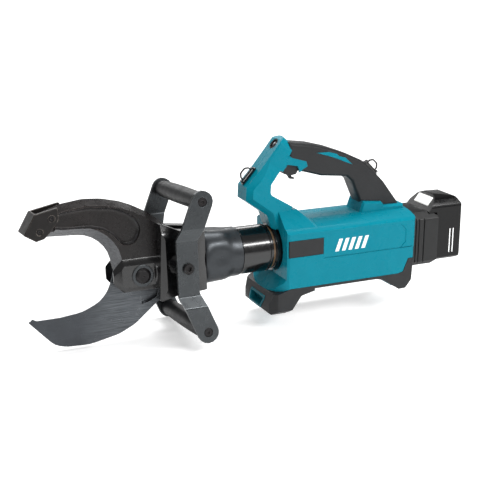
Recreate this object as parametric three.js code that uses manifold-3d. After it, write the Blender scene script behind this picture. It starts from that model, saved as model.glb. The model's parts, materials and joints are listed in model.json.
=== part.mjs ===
// Cordless hydraulic rescue cutter: two jaws, carrying handle, swivelling head, motor body, battery.
// Millimetres, +X toward the battery, +Z up, -Y is the left side. The origin is the middle of the
// sole of the front foot. In the functions below x counts from the front face of the motor body
// and z from the axis of the cylinder; the groups at the end put both in place.
import * as THREE from 'three';
import { mergeVertices } from 'three/addons/utils/BufferGeometryUtils.js';
import { ConvexGeometry } from 'three/addons/geometries/ConvexGeometry.js';
import Module from 'manifold-3d';

const wasm = await Module();
wasm.setup();

// ---- driving dimensions -------------------------------------------------------------------
const AXIS_HEIGHT = 110;
const FACE_X = 7;
const HEAD_ROLL = THREE.MathUtils.degToRad(-5.76);
const GAP = 0.3;

const BODY_LENGTH = 256;
const BODY_HALF = 64;
const BODY_BOTTOM = -61;
const REAR_SOLE = -92;
const WALL = 3.2;

const TUBE_RADIUS = 41.4;
const TUBE_BORE = 33;
const TUBE_FRONT = -84;
const TUBE_REAR = 60;

const DOME_RADIUS = 49;
const DOME_FRONT = -142;
const DOME_REAR = -70;
const ROD_RADIUS = 11;

const PIVOT_X = -248;
const PIVOT_Z = -15;
const PIVOT_RADIUS = 9;
const JAW_THICKNESS = 20;
const TAIL_LENGTH = 44;
const TAIL_ANGLE = THREE.MathUtils.degToRad(30);
const LINK_LENGTH = 52;
const LINK_RADIUS = 9;
const PIN_RADIUS = 4;
const SLOT_HALF = 21.5;
const FORK_HALF = 50;
const CLEVIS_RADIUS = 35;
const CLEVIS_HALF = 30;

const BAR_X = -164;
const BAR_Z = 107.5;
const BAR_RADIUS = 14;
const STRAP_MIDDLE_X = -189.5;
const STRAP_WIDTH = 36;
const STRAP_THICKNESS = 6;
const STRAP_OUTER = 98;
const BOSS_END = 80.7;

const ADAPTER_REAR = 318;
const ADAPTER_HALF = 44;
const PACK_REAR = 373;
const PACK_HALF = 37.5;
const PACK_BOTTOM = -56;
const SLOPE_FOOT = [300.5, 38.5];
const SLOPE_TOP = [323, 66];
const LATCH_TRAVEL = 3;

// the pins at the tails of the jaws and the pin of the crosshead, all in the jaws' plane
const TAIL_PIN_X = PIVOT_X + TAIL_LENGTH * Math.cos(TAIL_ANGLE);
const TAIL_PIN_RISE = TAIL_LENGTH * Math.sin(TAIL_ANGLE);
const LINK_ANGLE = Math.asin(TAIL_PIN_RISE / LINK_LENGTH);
const LINK_END_X = TAIL_PIN_X + LINK_LENGTH * Math.cos(LINK_ANGLE);
const CROSS_PIN_X = LINK_END_X + 0.5;

// ---- materials ----------------------------------------------------------------------------
function material(colour, roughness, metalness) {
  return new THREE.MeshStandardMaterial({ color: colour, roughness, metalness });
}

const TEAL = material(0x0a8fa0, 0.45, 0);
const RUBBER = material(0x3c3c3e, 0.75, 0);
const BLACK_PLASTIC = material(0x1b1c1e, 0.35, 0);
const GREY_PLASTIC = material(0x2e3032, 0.55, 0);
const SATIN_STEEL = material(0x5d6264, 0.5, 0.8);
const DARK_STEEL = material(0x2c2a2b, 0.45, 0.8);
const GLOSS_STEEL = material(0x141516, 0.2, 0.8);
const CAST = material(0x46494b, 0.5, 0.6);
const BLADE = material(0x5f6266, 0.35, 0.9);
const BRIGHT = material(0xa9adb0, 0.25, 1);
const BRONZE = material(0x8c6a3c, 0.35, 1);
const COPPER = material(0x9a5b34, 0.4, 0.9);
const WHITE_PLASTIC = material(0xe8e8e4, 0.4, 0);
const BOARD = material(0x1d5a34, 0.6, 0);
const LENS = material(0x2b2b33, 0.1, 0);

// ---- solids: every helper returns a manifold -----------------------------------------------
function solidOf(geometry) {
  const bare = geometry.clone();
  bare.deleteAttribute('normal');
  bare.deleteAttribute('uv');
  const merged = mergeVertices(bare, 1e-4);
  const solid = (triangles) => new wasm.Manifold(new wasm.Mesh({
    numProp: 3,
    vertProperties: new Float32Array(merged.attributes.position.array),
    triVerts: new Uint32Array(triangles),
  }));
  const outward = solid(merged.index.array);
  return outward.volume() > 0 ? outward : solid(merged.index.array.slice().reverse());
}

function geometryOf(solid) {
  const mesh = solid.getMesh();
  const geometry = new THREE.BufferGeometry();
  geometry.setAttribute('position', new THREE.BufferAttribute(mesh.vertProperties, 3));
  geometry.setIndex(new THREE.BufferAttribute(mesh.triVerts, 1));
  geometry.computeVertexNormals();
  return geometry;
}

const join = (...solids) => solids.reduce((a, b) => a.add(b));
const cut = (solid, ...tools) => tools.reduce((a, b) => a.subtract(b), solid);
const common = (...solids) => solids.reduce((a, b) => a.intersect(b));

// An outline of [a, b, radius] corners; a radius rounds its corner with an arc, as large as fits.
function rounded(corners, step = Math.PI / 8) {
  const points = [];
  corners.forEach(([a, b, radius = 0], i) => {
    const here = new THREE.Vector2(a, b);
    const before = corners[(i + corners.length - 1) % corners.length];
    const after = corners[(i + 1) % corners.length];
    const toBefore = new THREE.Vector2(before[0] - a, before[1] - b);
    const toAfter = new THREE.Vector2(after[0] - a, after[1] - b);
    const room = 0.48 * Math.min(toBefore.length(), toAfter.length());
    const half = toBefore.angleTo(toAfter) / 2;
    const reach = Math.min(radius / Math.tan(half), room);
    if (reach < 0.01) {
      points.push(here);
      return;
    }
    const inward = toBefore.normalize().clone().add(toAfter.normalize()).normalize();
    const centre = here.clone().addScaledVector(inward, reach / Math.cos(half));
    const start = here.clone().addScaledVector(toBefore, reach).sub(centre);
    const end = here.clone().addScaledVector(toAfter, reach).sub(centre);
    const turn = Math.atan2(start.cross(end), start.dot(end));
    const count = Math.max(2, Math.ceil(Math.abs(turn) / step));
    for (let k = 0; k <= count; k += 1) {
      points.push(start.clone().rotateAround(new THREE.Vector2(), (turn * k) / count).add(centre));
    }
  });
  return new THREE.Shape(points);
}

function extruded(corners, depth, bevel) {
  const size = bevel ? bevel[0] : 0;
  const thickness = bevel ? bevel[1] : 0;
  return new THREE.ExtrudeGeometry(rounded(corners), {
    depth: depth - 2 * thickness,
    steps: 1,
    bevelEnabled: Boolean(bevel),
    bevelSize: size,
    bevelOffset: -size,
    bevelThickness: thickness,
    bevelSegments: bevel ? bevel[2] || 1 : 1,
  }).translate(0, 0, thickness);
}

// [x, z] outline, extruded along Y
function plateY(corners, y0, y1, bevel) {
  return solidOf(extruded(corners, y1 - y0, bevel).rotateX(Math.PI / 2).translate(0, y1, 0));
}

// [y, z] outline, extruded along X
function plateX(corners, x0, x1, bevel) {
  const turn = new THREE.Matrix4().makeBasis(
    new THREE.Vector3(0, 1, 0), new THREE.Vector3(0, 0, 1), new THREE.Vector3(1, 0, 0));
  return solidOf(extruded(corners, x1 - x0, bevel).applyMatrix4(turn).translate(x0, 0, 0));
}

// [x, y] outline, extruded along Z
function plateZ(corners, z0, z1, bevel) {
  return solidOf(extruded(corners, z1 - z0, bevel).translate(0, 0, z0));
}

function box(x0, x1, y0, y1, z0, z1) {
  const geometry = new THREE.BoxGeometry(x1 - x0, y1 - y0, z1 - z0);
  return solidOf(geometry.translate((x0 + x1) / 2, (y0 + y1) / 2, (z0 + z1) / 2));
}

// [x, radius] profile turned about an axis along X at height z
function turnedX(profile, z = 0, segments = 28) {
  const points = profile.map(([x, radius]) => new THREE.Vector2(radius, x));
  return solidOf(new THREE.LatheGeometry(points, segments).rotateZ(-Math.PI / 2).translate(0, 0, z));
}

// [y, radius] profile turned about an axis along Y through (x, z)
function turnedY(profile, x, z, segments = 20) {
  const points = profile.map(([y, radius]) => new THREE.Vector2(radius, y));
  return solidOf(new THREE.LatheGeometry(points, segments).translate(x, 0, z));
}

function rodX(x0, x1, radius, z = 0, segments = 28) {
  return turnedX([[x0, 0], [x0, radius], [x1, radius], [x1, 0]], z, segments);
}

function rodY(y0, y1, radius, x, z, segments = 20) {
  return turnedY([[y0, 0], [y0, radius], [y1, radius], [y1, 0]], x, z, segments);
}

function convex(points) {
  return solidOf(new ConvexGeometry(points.map(([x, y, z]) => new THREE.Vector3(x, y, z))));
}

const mirrored = (corners) => [
  ...corners,
  ...corners.slice().reverse().map(([a, b, radius]) => [-a, b, radius]),
];

// the same about the middle plane, for outlines seen from above whose first corner may lie on it
const mirroredPlan = (corners) => [
  ...corners,
  ...corners.filter(([, y]) => y !== 0).reverse().map(([x, y, radius]) => [x, -y, radius]),
];

// copies of a solid pushed a little way along every axis, to leave a gap around it when they cut
function nudged(solid, by) {
  const pushes = [[by, 0, 0], [-by, 0, 0], [0, by, 0], [0, -by, 0], [0, 0, by], [0, 0, -by]];
  return pushes.map((push) => solidOf(geometryOf(solid).translate(...push)));
}

// ---- motor body ---------------------------------------------------------------------------
const BODY_SECTION = [
  [BODY_HALF, BODY_BOTTOM], [BODY_HALF, 36], [57, 42.5], [40, 47.5], [22, 50],
];
const BODY_PROFILE = [
  [0, 60], [BODY_LENGTH, 60], [BODY_LENGTH, -12], [252, -16], [252, -34.5], [242, -34.5],
  [232, -58.5], [222, BODY_BOTTOM], [6, BODY_BOTTOM], [-21, -70.5], [0, -45],
];
const WINDOW = [
  [5, 138.5], [-14.5, 118, 8], [-15.5, 100, 8], [43, 65, 10], [72, 40], [160, 40], [166, 62, 6],
  [149, 104, 4], [138, 115, 10], [88, 121, 30], [54, 131], [36, 128],
];
const GRIP = [
  [22, 186], [33, 184], [67, 179], [101, 170], [135, 157.5], [168, 142], [185, 129], [214, 100],
  [252, 50], [200, 50], [166, 66], [148, 106], [137, 115.5], [88, 121], [54, 131], [24, 136],
];

const LAMP = [3.5, 181.5, THREE.MathUtils.degToRad(40)];
const LAMP_RADIUS = 10;

function bodyShell() {
  const plan = [
    [-22, 0], [-20, 25], [-14, 46], [-5, 59], [4, BODY_HALF], [252, BODY_HALF], [BODY_LENGTH, 60],
  ];
  const outer = common(
    plateX(mirrored([[BODY_HALF, -80], ...BODY_SECTION.slice(1)]), -22, BODY_LENGTH),
    plateY(BODY_PROFILE, -BODY_HALF - 1, BODY_HALF + 1),
    plateZ(mirroredPlan(plan), -90, 80),
  );
  return join(outer, pillarRoot());
}

function pillarRoot() {
  const front = [[BODY_HALF - 4, 36], [50, 46], [40, 55], [27, 68]];
  const rear = [[BODY_HALF - 1, 36], [56, 42.5], [40, 47.5], [24, 50]];
  const points = [];
  for (const side of [-1, 1]) {
    front.forEach(([y, z]) => points.push([0, side * y, z]));
    rear.forEach(([y, z]) => points.push([62, side * y, z]));
    points.push([0, side * 60, 10], [62, side * 60, 10], [34, side * 26, 70]);
  }
  return convex(points);
}

function legRoot() {
  return plateY([[158, 40], [168, 69], [206, 65], [212, 58], [252, 57], [254, 40]], -27, 27, [3, 4]);
}

function pillar() {
  const outline = [
    [0, 10], [-18, 62], [-57.5, 91], [-56.5, 114], [-30, 143], [-5, 173.5], [8, 190],
    [22, 197], [38, 190], [18, 150], [32, 124], [32, 66], [70, 48], [70, 10],
  ];
  // the top narrows to a round boss about the lamp, seen square to the sloping front face
  const front = [[33, -300], [33, -80], [21, -30], [21, 19, 20]];
  return common(plateY(outline, -27, 27, [9, 9]), moved(plateX(mirrored(front), -90, 90), ...LAMP));
}

// the trigger guard and the core bar that runs inside the grip
function guard() {
  return plateY([[-4, 150], [10, 167], [58, 152.5], [62, 140, 4], [36, 127, 4], [-4, 124]], -19, 19, [3, 3]);
}

function core() {
  const outline = [
    [8, 150], [20, 176], [67, 170], [101, 161], [133, 149], [164, 134], [178, 122], [206, 92],
    [226, 66], [226, 44], [176, 44], [176, 70], [156, 108], [140, 124], [88, 131], [58, 141],
  ];
  return plateY(outline, -11, 11);
}

const handleFrame = () => join(cut(join(pillar(), guard()), plateY(WINDOW, -40, 40)), core(), legRoot());

function bodyCavity() {
  const section = [
    [BODY_HALF - WALL, BODY_BOTTOM + WALL], [BODY_HALF - WALL, 34], [54, 39.5], [39, 44], [21, 46.5],
  ];
  const profile = [
    [WALL + 1, 58], [BODY_LENGTH - WALL, 58], [BODY_LENGTH - WALL, -15], [248, -31], [238, -31],
    [228, -56], [WALL - 3, -57.8], [WALL + 1, -44],
  ];
  return common(plateX(mirrored(section), 0, BODY_LENGTH), plateY(profile, -70, 70));
}

const TRIGGER_HALF = 14;

function sidePanels() {
  const cuts = [];
  for (const side of [-1, 1]) {
    const span = (depth) => [side * (BODY_HALF - depth), side * (BODY_HALF + 1)].sort((a, b) => a - b);
    const recess = span(2.6);
    cuts.push(plateY([[2, -5.6], [69.5, -5.6], [69.5, 24.6], [2, 24.6]], recess[0], recess[1]));
    const panel = span(0.9);
    cuts.push(plateY([[76, -12], [226, -12], [236, -3], [236, 20], [226, 31], [76, 31]], panel[0], panel[1]));
    const groove = span(1.6);
    cuts.push(box(70, 250, groove[0], groove[1], -13.6, -12));
  }
  return cuts;
}

function housing() {
  const shell = join(bodyShell(), handleFrame());
  const holes = [
    bodyCavity(),
    rodX(-20, WALL + 6, TUBE_RADIUS + 1.2, 0, 40),
    rodX(-3, 1.5, TUBE_RADIUS + 4, 0, 40),
    ...sidePanels(),
    // the switch, the trigger and the lamp
    box(49, 78, -8, 8, 142, 162),
    plateY([[8, 110], [47, 110], [47, 158], [8, 158]], -TRIGGER_HALF - 0.5, TRIGGER_HALF + 0.5),
    plateY([[6, 126], [12, 139.5], [19.5, 147.4], [39.6, 143.3], [43.7, 134], [41, 118], [6, 118]], -30, 30),
    // the opening for the plug of the battery mount
    box(BODY_LENGTH - 6, BODY_LENGTH + 1, -30, 30, -48, 24),
  ];
  return cut(shell, ...holes);
}

function bumperBody() {
  const profile = [
    [-21.4, -71], [-33, -101, 3], [-23, -109], [4, -109, 3], [28, -76, 4], [54, -70], [54, -66],
    [178, -66], [192, -69.5], [225, -91], [239, -91, 6], [251, -76, 6], [253, -36], [243, -35],
    [233, -59.2], [222.5, -61.6], [6, -61.6],
  ];
  const bow = [[-33, 0], [-31, 30], [-28, 50], [-16, 62], [-8, BODY_HALF], [254, BODY_HALF]];
  return common(
    plateY(profile, -BODY_HALF, BODY_HALF),
    plateZ(mirroredPlan(bow), -115, -30),
    plateX(mirrored([[44, -112], [BODY_HALF, -100], [BODY_HALF, -30]]), -40, 260),
  );
}

const socketOutline = (grow) => mirrored([
  [27 + grow, -80 + grow], [29 + grow, -85], [24 + grow, -102 - grow],
]);

function baseBumper() {
  return cut(
    bumperBody(),
    box(-16, 2, -42, 42, -115, -106),
    box(224, 240, -40, 40, REAR_SOLE - 5, REAR_SOLE + 4),
    plateX(socketOutline(GAP), -40, -14),
  );
}

function solePad(x0, x1, sole) {
  return plateZ([[x0, -39.7, 2], [x1, -39.7, 2], [x1, 39.7, 2], [x0, 39.7, 2]], sole, sole + 4 - GAP);
}

// the lined recess in the front of the base, a little proud of the rubber
function frontSocket() {
  const proud = solidOf(geometryOf(bumperBody()).translate(-0.8, 0, 0));
  return cut(common(plateX(socketOutline(0), -40, -14 - GAP), proud), plateX(socketOutline(-4), -41, -19));
}

function sidePlate(side) {
  const outline = [[2.6, -5, 1], [69, -5, 1], [69, 24, 1], [2.6, 24, 1]];
  const outer = side * (BODY_HALF + 0.6);
  const inner = side * (BODY_HALF - 2.3);
  return plateY(outline, Math.min(outer, inner), Math.max(outer, inner), [0.6, 0.6]);
}

// ---- handle grip --------------------------------------------------------------------------
function grip() {
  const body = plateY(GRIP, -19, 19, [7, 7, 3]);
  const inlays = [-1, 1].flatMap((side) => nudged(inlayShape(side), GAP));
  return cut(body, ...nudged(handleFrame(), GAP), ...inlays);
}

function inlayShape(side) {
  const outline = [
    [75, 163.5], [100, 163], [115, 158.6], [120, 154], [133, 150.3], [147, 137], [133, 142.5],
    [117, 149.5], [98, 156.5],
  ];
  const [y0, y1] = [side * 17.4, side * 19.6].sort((a, b) => a - b);
  return plateY(outline, y0, y1);
}

// ---- trigger, switch, lamp, lanyard rings -----------------------------------------------------
function trigger() {
  const outline = [
    [12, 150], [12, 139], [17, 130], [29, 126], [40, 128], [45, 137], [45, 150],
  ];
  const shape = plateY(outline, -TRIGGER_HALF, TRIGGER_HALF, [2.5, 2.5, 2]);
  return cut(shape, box(22, 41, -3, 3, 110, 141));
}

function triggerLock() {
  const outline = [
    [25, 137, 2], [31, 137, 2], [36, 122], [42, 119.6, 1], [41, 117, 1], [33, 118, 2], [27, 126],
  ];
  return plateY(outline, -2.6, 2.6, [0.6, 0.6]);
}

function lampBezel() {
  const lens = LAMP_RADIUS - 2.4;
  const ring = turnedX([
    [-1.5, 0], [-1.5, LAMP_RADIUS], [4.4, LAMP_RADIUS], [5, LAMP_RADIUS - 0.8], [5, 0],
  ], 0, 24);
  return cut(ring, rodX(-2, 1.6, lens, 0, 24));
}

function lampLens() {
  return turnedX([[1.3, 0], [1.3, 6.4], [0.2, 5.4], [-0.7, 3.2], [-1, 0]], 0, 16);
}

// A lanyard ring in its own frame: hinge along X at the origin, the loop standing up along Z.
function lanyardRing() {
  const outer = [[-12, -1.2], [12, -1.2], [12, 6, 5], [6, 12.5, 5], [-6, 12.5, 5], [-12, 6, 5]];
  const inner = [[-9.6, 1.2], [9.6, 1.2], [9.6, 5, 4], [5, 10.1, 4], [-5, 10.1, 4], [-9.6, 5, 4]];
  const loop = cut(plateY(outer, -1.2, 1.2, [0.5, 0.5]), plateY(inner, -2, 2));
  return join(loop, rodX(-16, 16, 1.2, 0, 10));
}

function lanyardBracket() {
  const base = plateZ([[-18, -4, 2], [18, -4, 2], [18, 4, 2], [-18, 4, 2]], -4.6, -2.2);
  const lug = (x) => box(x - 1.5, x + 1.5, -3, 3, -3, 2.4);
  return cut(join(base, lug(-14.5), lug(14.5)), rodX(-20, 20, 1.55, 0, 10));
}

// ---- inside the motor body ----------------------------------------------------------------
function pumpBlock() {
  const section = mirrored([[34, -42, 4], [42, -30, 4], [42, 22, 4], [30, 36, 4]]);
  const body = plateX(section, TUBE_REAR + 1, 100, [1.5, 1.5]);
  const spigot = rodX(TUBE_REAR - 16, TUBE_REAR + 2, TUBE_BORE - GAP);
  return cut(join(body, spigot), rodX(92, 101, 12), rodX(TUBE_REAR - 17, TUBE_REAR - 4, 22));
}

function oilReservoir() {
  const shell = plateX(mirrored([[40, -56, 3], [50, -46, 3], [36, -44]]), 40, 100, [1.5, 1.5]);
  return cut(shell, rodX(30, 110, TUBE_RADIUS + 1.5));
}

function gearbox() {
  return cut(
    turnedX([[100.4, 0], [100.4, 34], [106, 34], [106, 29], [126, 29], [126, 0]], 0, 24),
    rodX(99, 127, 11.6, 0, 16),
  );
}

function motorStator() {
  const can = cut(rodX(127, 186, 28), rodX(126, 187, 16));
  const slots = [];
  for (let k = 0; k < 6; k += 1) {
    const geometry = new THREE.BoxGeometry(70, 6, 7).translate(156, 0, 19).rotateX((k * Math.PI) / 3);
    slots.push(solidOf(geometry));
  }
  return cut(can, ...slots);
}

function motorRotor() {
  return turnedX([
    [93, 0], [93, 4], [104, 4], [104, 10], [112, 10], [112, 4], [129, 4], [129, 15], [184, 15],
    [184, 4], [191, 4], [191, 24], [199, 24], [199, 4], [203, 4], [203, 0],
  ], 0, 20);
}

function controlBoard() {
  const board = box(208, 211, -38, 38, -44, 30);
  const sinks = [-24, -8, 8, 24].map((y) => box(210, 218, y - 5, y + 5, -30, 18));
  return join(board, ...sinks);
}

function switchBody() {
  return plateY([[50, 143], [76, 143], [76, 152], [62, 160], [50, 160]], -7.6, 7.6, [1, 1]);
}

// ---- battery mount and battery -----------------------------------------------------------------
function batteryMount() {
  const section = mirrored([
    [ADAPTER_HALF - 6, -60], [ADAPTER_HALF, -52], [ADAPTER_HALF, 27, 4], [34, 40], [16, 45],
  ]);
  const profile = [
    [256.5, -50], [262, -60], [308, -60, 4], [ADAPTER_REAR, -52], [ADAPTER_REAR, 31], [311, 35.4],
    [299.4, 35.4], [298, 41, 3], [282, 44.5, 10], [256.5, 46],
  ];
  const outer = common(plateX(section, 256.5, ADAPTER_REAR), plateY(profile, -60, 60));
  const ribs = [];
  for (const side of [-1, 1]) {
    const depth = [side * (ADAPTER_HALF - 2), side * (ADAPTER_HALF + 1)].sort((a, b) => a - b);
    for (const x of [262, 268.5, 275, 286]) {
      ribs.push(box(x, x + 2.6, ...depth, -56, 34));
    }
  }
  return cut(
    outer,
    box(255, ADAPTER_REAR - 4, -30, 30, -46, 22),
    ...ribs,
    // rails that the battery slides down between
    box(ADAPTER_REAR - 6, ADAPTER_REAR + 1, -26, 26, -30, 40),
  );
}

function terminalBlock() {
  const block = box(ADAPTER_REAR - 12, ADAPTER_REAR - 4.5, -16, 16, -40, -31);
  const blades = [-9, -3, 3, 9].map((y) => (
    box(ADAPTER_REAR - 10, ADAPTER_REAR - 6.6, y - 0.6, y + 0.6, -32, -16)
  ));
  return join(block, ...blades);
}

function batteryCase() {
  const front = ADAPTER_REAR + GAP;
  const profile = [
    [front, PACK_BOTTOM], [PACK_REAR - 3, PACK_BOTTOM, 8], [PACK_REAR + 3, PACK_BOTTOM + 9, 8],
    [PACK_REAR - 1, 48, 10], [PACK_REAR - 10, 61, 10], [SLOPE_TOP[0], SLOPE_TOP[1], 4], SLOPE_FOOT,
    [SLOPE_FOOT[0], 36], [front, 36],
  ];
  const section = mirrored([
    [PACK_HALF - 4, PACK_BOTTOM], [PACK_HALF, PACK_BOTTOM + 4], [PACK_HALF, 46, 10], [28, 60, 10],
    [12, 66, 10],
  ]);
  const plan = mirroredPlan([[280, PACK_HALF], [PACK_REAR - 2, PACK_HALF], [PACK_REAR + 4, PACK_HALF - 6]]);
  const body = common(
    plateY(profile, -PACK_HALF, PACK_HALF),
    plateX(section, 280, 390),
    plateZ(plan, -70, 80),
  );
  const slide = box(ADAPTER_REAR - 5, ADAPTER_REAR + 2, -24, 24, -28, 34);
  return cut(
    join(body, slide),
    box(ADAPTER_REAR - 12, ADAPTER_REAR - 1, -14, 14, -33, -10),
    latchShape(0.4, LATCH_TRAVEL),
  );
}

// The push button lies on the sloping front of the battery, its pocket is deeper by its travel.
function latchShape(grow = 0, travel = 0) {
  const high = 9.5 + grow;
  const wide = 23 + grow;
  const outline = [[-high, -wide, 2], [high, -wide, 2], [high, wide, 2], [-high, wide, 2]];
  const slope = Math.atan2(SLOPE_TOP[1] - SLOPE_FOOT[1], SLOPE_TOP[0] - SLOPE_FOOT[0]);
  const middle = [(SLOPE_TOP[0] + SLOPE_FOOT[0]) / 2, (SLOPE_TOP[1] + SLOPE_FOOT[1]) / 2];
  const depth = 6 + grow + travel;
  const solid = extruded(outline, depth + 1, grow ? undefined : [0.8, 0.8]).translate(0, 0, -depth);
  return solidOf(solid.rotateY(-slope).translate(middle[0] + 0.5, 0, middle[1] + 0.6));
}

// ---- hydraulic cylinder ------------------------------------------------------------------------
function cylinderTube() {
  return cut(
    turnedX([
      [TUBE_FRONT, 0], [TUBE_FRONT, 38], [-70, 38], [-70, TUBE_RADIUS], [-22, TUBE_RADIUS],
      [-22, TUBE_RADIUS - 2], [-19, TUBE_RADIUS - 2], [-19, TUBE_RADIUS], [-17, TUBE_RADIUS],
      [-17, TUBE_RADIUS - 3], [-8, TUBE_RADIUS - 3], [-8, TUBE_RADIUS], [TUBE_REAR, TUBE_RADIUS],
      [TUBE_REAR, 0],
    ], 0, 40),
    rodX(TUBE_FRONT - 1, TUBE_REAR + 1, TUBE_BORE, 0, 32),
  );
}

function gland() {
  return turnedX([
    [TUBE_FRONT, ROD_RADIUS + GAP], [TUBE_FRONT, TUBE_BORE - GAP], [-66, TUBE_BORE - GAP],
    [-66, 20], [-60, 20],
    [-60, ROD_RADIUS + GAP], [TUBE_FRONT, ROD_RADIUS + GAP],
  ]);
}

function piston() {
  const head = turnedX([
    [22, 0], [22, TUBE_BORE - 0.6], [26, TUBE_BORE - 0.6], [26, TUBE_BORE - 2.5], [30, TUBE_BORE - 2.5],
    [30, TUBE_BORE - 0.6], [35, TUBE_BORE - 0.6], [35, 0],
  ]);
  return join(head, rodX(-146, 23, ROD_RADIUS, 0, 28));
}

function returnSpring() {
  const turns = 7;
  const start = -57;
  const end = 19;
  const radius = 22;
  class Coil extends THREE.Curve {
    getPoint(t) {
      const angle = t * turns * 2 * Math.PI;
      return new THREE.Vector3(start + (end - start) * t, radius * Math.cos(angle), radius * Math.sin(angle));
    }
  }
  const wire = new THREE.Shape();
  wire.absarc(0, 0, 2.2, 0, 2 * Math.PI);
  return solidOf(new THREE.ExtrudeGeometry(wire, {
    steps: turns * 9, extrudePath: new Coil(), curveSegments: 3, bevelEnabled: false,
  }));
}

function dome() {
  const bulge = DOME_RADIUS + 1.5;
  return cut(
    turnedX([
      [DOME_FRONT, 0], [DOME_FRONT, DOME_RADIUS - 1], [-136, bulge], [-118, bulge],
      [-104, DOME_RADIUS], [-95, 47],
      [-86, 43.6], [DOME_REAR - 1, 42.4], [DOME_REAR - 1, 0],
    ], 0, 40),
    rodX(TUBE_FRONT - 0.4, DOME_REAR + 1, 38.4, 0, 40),
    rodX(DOME_FRONT - 1, TUBE_FRONT + 1, 16, 0, 20),
  );
}

// ---- head: fork, crosshead, links, jaws ----------------------------------------------------------
function fork() {
  const cheek = [[-217, 70, 3], [-186, 55], [DOME_FRONT, 49], [DOME_FRONT, -49], [-190, -52], [-224, -61, 3]];
  const nose = [[-218, 0], [-218, CLEVIS_RADIUS], [-279, CLEVIS_RADIUS], [-296, 24], [-296, 0]];
  const cheeks = common(
    plateY(cheek, -FORK_HALF, FORK_HALF),
    plateZ(mirroredPlan([[-225, 39], [-213, FORK_HALF], [-156, FORK_HALF], [-141, 44]]), -80, 90),
    plateX(mirrored([[38, -70], [FORK_HALF, -40], [FORK_HALF, 44], [36, 76]]), -230, -140),
  );
  const flats = [[-297, 24], [-283, CLEVIS_HALF], [-228, CLEVIS_HALF], [-223, 36], [-217, 36]];
  const clevis = common(
    turnedX(nose, PIVOT_Z + 1, 40),
    plateZ(mirroredPlan(flats), -80, 80),
  );
  return cut(
    join(cheeks, clevis, strapBoss(-1), strapBoss(1)),
    box(-300, DOME_FRONT - 4, -SLOT_HALF, SLOT_HALF, -90, 100),
    rodX(-160, DOME_FRONT + 1, 16, 0, 28),
    rodY(-60, 60, PIVOT_RADIUS + GAP, PIVOT_X, PIVOT_Z),
    rodY(-CLEVIS_HALF - 1, -CLEVIS_HALF + 1.4, 19, PIVOT_X, PIVOT_Z),
    rodY(-BOSS_END - 1, -BOSS_END + 16, 5.3, STRAP_MIDDLE_X, 0, 16),
    rodY(BOSS_END - 16, BOSS_END + 1, 5.3, STRAP_MIDDLE_X, 0, 16),
  );
}

// the boss on the fork's flank that carries the middle of a handle strap
function strapBoss(side) {
  const profile = [
    [FORK_HALF - 12, 0], [FORK_HALF - 12, 24], [FORK_HALF, 19], [BOSS_END - 8, 15], [BOSS_END, 14],
    [BOSS_END, 0],
  ];
  return turnedY(profile.map(([y, radius]) => [side * y, radius]), STRAP_MIDDLE_X, 0, 24);
}

function pivotBolt() {
  const face = -CLEVIS_HALF - 5.4;
  return cut(
    turnedY([
      [face, 0], [face, 9], [face + 2.6, 12.8], [face + 6.5, 12.8], [face + 6.5, PIVOT_RADIUS],
      [CLEVIS_HALF + 10, PIVOT_RADIUS], [CLEVIS_HALF + 10, 0],
    ], PIVOT_X, PIVOT_Z, 24),
    rodY(face - 1, face + 1.6, 1.8, PIVOT_X, PIVOT_Z, 10),
  );
}

function pivotWasher() {
  return turnedY([
    [-CLEVIS_HALF + 1.1, 13.4], [-CLEVIS_HALF + 1.1, 18.4], [-CLEVIS_HALF - 1.2, 18.4],
    [-CLEVIS_HALF - 1.8, 17],
    [-CLEVIS_HALF - 1.8, 13.4], [-CLEVIS_HALF + 1.1, 13.4],
  ], PIVOT_X, PIVOT_Z, 24);
}

function pivotNut() {
  const hexagon = [];
  for (let k = 0; k < 6; k += 1) {
    const angle = (k * Math.PI) / 3;
    hexagon.push([PIVOT_X + 15 * Math.cos(angle), PIVOT_Z + 15 * Math.sin(angle)]);
  }
  return cut(
    plateY(hexagon, CLEVIS_HALF + GAP, CLEVIS_HALF + 9),
    rodY(0, 60, PIVOT_RADIUS + GAP, PIVOT_X, PIVOT_Z),
  );
}

// Room for the links beside a jaw's tail, on the side of the jaw that faces the other jaw.
function linkRoom(side) {
  const depth = [-side, side * 7.9].sort((a, b) => a - b);
  const zone = box(-244, -190, ...depth, PIVOT_Z - 56, PIVOT_Z + 56);
  return cut(common(zone, rodY(-12, 12, 56, PIVOT_X, PIVOT_Z)), rodY(-12, 12, 27, PIVOT_X, PIVOT_Z));
}

// A cutter whose outline is as given at y1 and grows by size toward y0, to cut a sloping face.
function slopeCutter(corners, y0, y1, size, steps = 1) {
  const depth = Math.abs(y1 - y0);
  const geometry = new THREE.ExtrudeGeometry(rounded(corners), {
    depth: 0.5,
    steps: 1,
    bevelEnabled: true,
    bevelSize: size,
    bevelThickness: depth,
    bevelSegments: steps,
  });
  return solidOf(geometry.rotateX(Math.PI / 2).translate(0, y0, 0));
}

const jawHoles = (rise) => [
  rodY(-60, 60, PIVOT_RADIUS + GAP, PIVOT_X, PIVOT_Z),
  rodY(-60, 60, PIN_RADIUS + GAP, TAIL_PIN_X, PIVOT_Z + rise, 20),
];

const UPPER_BACK = [
  [-440, 92], [-413, 99], [-369, 113, 20], [-333, 117.5, 60], [-303, 115, 60], [-273.5, 108, 60],
  [-253.5, 100, 50], [-228.5, 86.5, 50], [-201, 65],
];
const UPPER_MOUTH = [[-311, 46, 60], [-333, 58.6, 80], [-373, 61, 60], [-403, 62.5]];

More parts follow.
